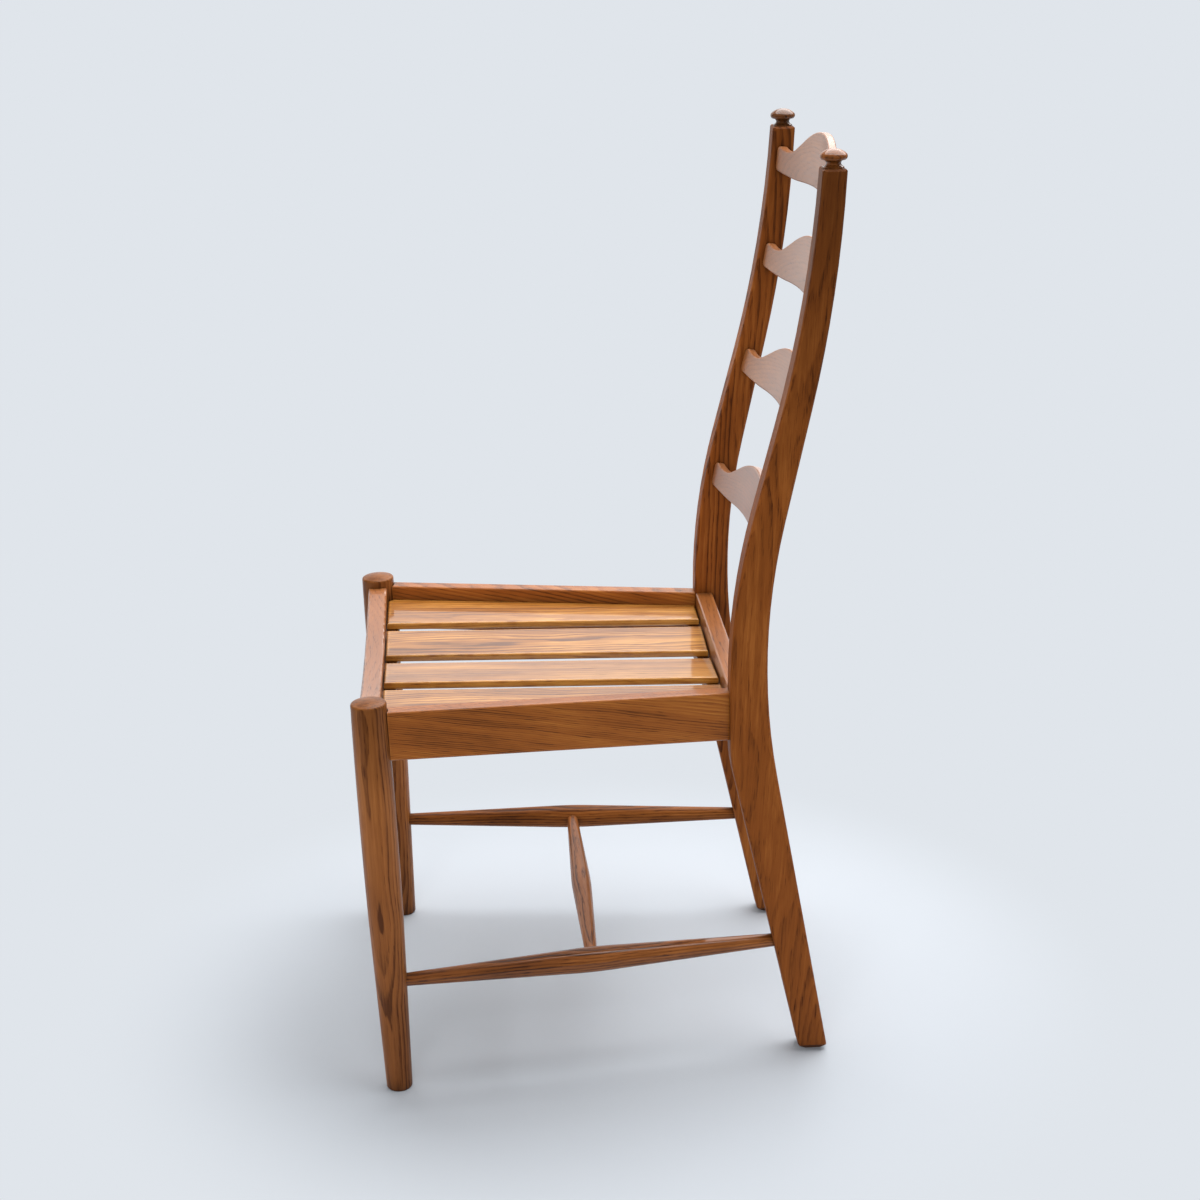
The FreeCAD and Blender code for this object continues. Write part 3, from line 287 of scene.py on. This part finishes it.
# What differs between the boards of the left and the right side
SIDES = {
    "left": dict(
        side=1, post=dict(ring=3.0, warp=14, figure=0.55), post_top_tone=(0.72, 0.48),
        finial=SMOKED, rail_ring=2.0, stretcher_coat=0.55),
    "right": dict(
        side=-1, post=dict(ring=5.0, warp=22, figure=0.8), post_top_tone=(0.95, 0.72),
        finial=DEEP, rail_ring=4.5, stretcher_coat=0.1),
}
for name, board in SIDES.items():
    side = board["side"]
    dress("front_leg_" + name, wood(
        "wood_front_leg_" + name, (0.21 * side, -0.24, 0.1 + 0.05 * side),
        (-0.003 * side, -0.0112, 0.4555), ACROSS, **BROWN, pith=(0, 18, 40), ring=3.4, warp=14,
        figure=0.75, sheen=0.1, coat=0.12,
        height_tone=[(0.0, 0.72), (0.16, 0.95), (0.33, 1.0), (0.41, 0.78), (0.456, 0.72)]))
    below_top, top = board["post_top_tone"]
    dress("rear_post_" + name, wood(
        "wood_rear_post_" + name, (0.17 * side, 0.16, 0.3 * side), (0.02, 0.06, 1), ACROSS,
        **POST_BROWN, **board["post"], pith=(0, 22, 70 + 30 * side), gloss=0.5, coat=0.0,
        sheen=0.12,
        height_tone=[(0.0, 0.78), (0.1, 0.92), (0.3, 1.0), (0.62, 0.98), (0.84, below_top), (0.96, top)]))
    dress("finial_" + name, wood(
        "wood_finial_" + name, (0.17 * side, 0.24, 1.0), (0.1, 0, 1), ACROSS, **board["finial"],
        pith=(0, 12, 25), ring=2.6, warp=6, figure=0.5, sheen=0.1, gloss=0.45, coat=0.6,
        coat_gloss=0.06))
    dress("side_rail_" + name, wood(
        "wood_side_rail_" + name, (0.19 * side, -0.05, 0.42 + 0.1 * side), (-0.11 * side, 1, -0.2),
        ACROSS, **RAIL_BROWN, pith=(0, 45, 25 * side), ring=board["rail_ring"], warp=12,
        figure=0.7, sheen=0.2, coat_gloss=0.1, crease_shade_tone=0.65))
    dress("side_stretcher_" + name, wood(
        "wood_side_stretcher_" + name, (0.19 * side, -0.02, 0.132), (-0.09 * side, 1, 0.0127), UP,
        **SMOKED, pith=(0, 12, 34), ring=3.4, warp=12, figure=0.8, pores=1.4, gloss=0.5, sheen=0.1,
        coat=board["stretcher_coat"], coat_gloss=0.05, crease_shade_tone=0.3))

dress("cross_stretcher", wood(
    "wood_cross_stretcher", (0.1, -0.02, 0.132), ACROSS, UP, **BROWN, pith=(0, 10, 30), ring=3.0,
    warp=10, figure=0.8, pores=1.5, gloss=0.5, sheen=0.1, coat=0.35, coat_gloss=0.08))
dress("front_rail", wood(
    "wood_front_rail", (0.05, -0.25, 0.42), (1, 0, 0.02), UP, **BROWN, pith=(0, 30, 60), ring=3.0,
    warp=10, figure=0.35, coat_gloss=0.1))
dress("rear_rail", wood(
    "wood_rear_rail", (-0.05, 0.14, 0.42), (1, 0, -0.02), UP, **BROWN, pith=(0, 40, 50), warp=8,
    figure=0.35, sheen=0.35))


def box_middle(node):
    low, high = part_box(node)
    return (low + high) / 2


# The rungs from top to bottom, with each one's lacquer
for number, lacquer in enumerate((
        dict(coat=0.6, sheen=0.4),
        dict(coat=0.85, sheen=0.5),
        dict(coat=0.9, sheen=0.5),
        dict(coat=1.0, sheen=0.8)), start=1):
    label = "ladder_rung_%d" % number
    dress(label, wood(
        "wood_" + label, box_middle(label) + Vector((0.07 * number, 0, 0)), (1, 0, 0.03),
        (0, -1, 0.15), **BROWN, **lacquer, pith=(0, 20 + 9 * number, 60), ring=2.8, figure=0.3,
        pores=0.6, gloss=0.4, coat_gloss=0.3, crease_shade_tone=0.3))

# The slats from left to right, each from its own part of the tree
for number, board in enumerate((
        dict(pith=(0, 8, 34), figure=1.0),
        dict(pith=(0, 60, 20), figure=0.8),
        dict(pith=(0, 4, 28), figure=1.1),
        dict(pith=(0, 30, 40), figure=0.8)), start=1):
    label = "seat_slat_%d" % number
    # The slats' edges are lightened strongly and widely: painted highlight, with worn stain
    dress(label, wood(
        "wood_" + label, box_middle(label), (0.02 * (-1) ** number, 1, -0.028), UP, **HONEY,
        **board, ring=3.6, warp=16, gloss=0.4, sheen=0.3, coat=0.8, coat_gloss=0.07, wear_and_highlight=1.0,
        wear_and_highlight_width=0.008, crease_shade_tone=0.9))

for node in ("front_cleat", "rear_cleat"):
    dress(node, wood("wood_" + node, (0, 0, 0.41), ACROSS, BACK, **BROWN, gloss=0.5, coat=0.0))
for node in ("side_rail_dowels", "front_rail_dowels", "rear_rail_dowels"):
    dress(node, wood("wood_" + node, (0, 0, 0.41), ACROSS, UP, **BARE, gloss=0.6, coat=0.0,
                     wear_and_highlight=0.0))


ZINC_SCALE = (900, 900, 900)
DULL_ZINC, BRIGHT_ZINC = linear(150, 146, 136), linear(206, 204, 198)


def screw_steel():
    """Zinc-plated steel, dulled unevenly."""
    material = bpy.data.materials.new("screw_steel")
    material.use_nodes = True
    material.node_tree.nodes.clear()
    tree = Tree(material.node_tree)
    place = tree.add("ShaderNodeTexCoord").outputs["Object"]
    cloud = tree.noise(place, ZINC_SCALE, 4, 0.6)
    shader = tree.add("ShaderNodeBsdfPrincipled")
    tree.plug(shader.inputs["Base Color"], tree.mix(cloud, DULL_ZINC, BRIGHT_ZINC))
    shader.inputs["Metallic"].default_value = 1.0
    tree.plug(shader.inputs["Roughness"], tree.between(cloud, 0.2, 0.8, 0.28, 0.5))
    tree.plug(tree.add("ShaderNodeOutputMaterial").inputs["Surface"], shader.outputs[0])
    return material


STEEL = screw_steel()
for node in ("slat_screws", "cleat_screws"):
    dress(node, STEEL)

# Stage

BACKDROP = linear(224, 229, 235)
FLOOR_TONE = linear(187, 192, 198)
DARK_ROOM = linear(70, 70, 72)
FLOOR_HALF = 8.0
# Distance from the chair's middle where its shadow starts to pass into the plain backdrop, and
# where it has done so
SHADOW_FADES, SHADOW_ENDS = 0.33, 0.64
# The room is dark beyond the chair's left side, from the first X to the second
DARK_STARTS, DARK_FULL = 0.85, 1.1


def build_floor():
    mesh = bpy.data.meshes.new("floor")
    half = FLOOR_HALF
    corners = [(-half, -half, 0), (half, -half, 0), (half, half, 0), (-half, half, 0)]
    mesh.from_pydata(corners, [], [(0, 1, 2, 3)])
    floor = bpy.data.objects.new("floor", mesh)
    bpy.context.scene.collection.objects.link(floor)
    material = bpy.data.materials.new("floor_paper")
    material.use_nodes = True
    material.node_tree.nodes.clear()
    tree = Tree(material.node_tree)
    place = tree.add("ShaderNodeTexCoord").outputs["Object"]
    far = tree.between(tree.vector("LENGTH", place), SHADOW_FADES, SHADOW_ENDS)
    side = tree.add("ShaderNodeSeparateXYZ")
    tree.plug(side.inputs[0], place)
    lit = tree.add("ShaderNodeBsdfDiffuse")
    dark = tree.between(side.outputs[0], DARK_STARTS, DARK_FULL)
    tree.plug(lit.inputs["Color"], tree.mix(dark, FLOOR_TONE, DARK_ROOM))
    plain = tree.add("ShaderNodeEmission")
    plain.inputs["Color"].default_value = BACKDROP
    seen = tree.math("MULTIPLY", far, tree.add("ShaderNodeLightPath").outputs["Is Camera Ray"])
    blend = tree.add("ShaderNodeMixShader")
    tree.plug(blend.inputs[0], seen)
    tree.plug(blend.inputs[1], lit.outputs[0])
    tree.plug(blend.inputs[2], plain.outputs[0])
    tree.plug(tree.add("ShaderNodeOutputMaterial").inputs["Surface"], blend.outputs[0])
    mesh.materials.append(material)


build_floor()


def softbox(name, place, aim, width, height, power, seen=True):
    """A large soft lamp of so many watts, hidden from the camera, and from gloss if not seen."""
    light = bpy.data.lights.new(name, "AREA")
    light.shape = "RECTANGLE"
    light.size, light.size_y = width, height
    light.energy = power
    lamp = bpy.data.objects.new(name, light)
    lamp.location = place
    lamp.rotation_euler = (Vector(aim) - Vector(place)).to_track_quat("-Z", "Y").to_euler()
    lamp.visible_camera = False
    lamp.visible_glossy = seen
    bpy.context.scene.collection.objects.link(lamp)


softbox("overhead", (-0.8, 0.75, 2.7), (0.0, 0.0, 0.3), 3.2, 3.2, 150)
softbox("far_wall", (-3.2, -0.6, 1.3), (0.0, 0.0, 0.5), 4.5, 2.8, 40)
softbox("front_wall", (-0.8, -3.4, 1.2), (0.0, 0.0, 0.6), 3.0, 2.4, 26, seen=False)
softbox("camera_side", (3.0, -0.5, 1.6), (0.0, 0.0, 0.5), 2.0, 2.0, 45, seen=False)

AMBIENT = 0.28


def build_world():
    """A plain backdrop for the camera, and a weak light of the same colour for all else."""
    world = bpy.data.worlds.new("studio")
    world.use_nodes = True
    world.node_tree.nodes.clear()
    sky = Tree(world.node_tree)
    choice = sky.add("ShaderNodeMixShader")
    sky.plug(choice.inputs[0], sky.add("ShaderNodeLightPath").outputs["Is Camera Ray"])
    for socket, strength in ((choice.inputs[1], AMBIENT), (choice.inputs[2], 1.0)):
        background = sky.add("ShaderNodeBackground")
        background.inputs["Color"].default_value = BACKDROP
        background.inputs["Strength"].default_value = strength
        sky.plug(socket, background.outputs[0])
    sky.plug(sky.add("ShaderNodeOutputWorld").inputs["Surface"], choice.outputs[0])
    bpy.context.scene.world = world


build_world()
bpy.context.scene.view_settings.view_transform = "Standard"

# Camera, at the photograph's viewing angle

YAW, PITCH, ROLL = math.radians(-3.68), math.radians(19.10), math.radians(-1.13)
CAMERA_PLACE = (2.371, -0.14241, 1.307)
# In pixels of the photograph
IMAGE_WIDTH = 1200.0
FOCAL_LENGTH = 2219.0
SHIFT = 1.0
# In millimetres
SENSOR_WIDTH = 36.0


def camera_turn():
    """Rotation of a camera that looks along -X at no yaw, then pitches down, then rolls."""
    flat_ahead = Vector((-math.cos(YAW), -math.sin(YAW), 0))
    flat_right = Vector((-math.sin(YAW), math.cos(YAW), 0))
    ahead = flat_ahead * math.cos(PITCH) - Vector(UP) * math.sin(PITCH)
    level_up = Vector(UP) * math.cos(PITCH) + flat_ahead * math.sin(PITCH)
    right = flat_right * math.cos(ROLL) + level_up * math.sin(ROLL)
    upward = level_up * math.cos(ROLL) - flat_right * math.sin(ROLL)
    return Matrix((right, upward, -ahead)).transposed().to_4x4()


def build_camera():
    lens = bpy.data.cameras.new("camera")
    lens.sensor_width = SENSOR_WIDTH
    lens.lens = FOCAL_LENGTH / IMAGE_WIDTH * SENSOR_WIDTH
    lens.shift_y = SHIFT / IMAGE_WIDTH
    camera = bpy.data.objects.new("camera", lens)
    camera.matrix_world = Matrix.Translation(CAMERA_PLACE) @ camera_turn()
    bpy.context.scene.collection.objects.link(camera)
    bpy.context.scene.camera = camera


build_camera()
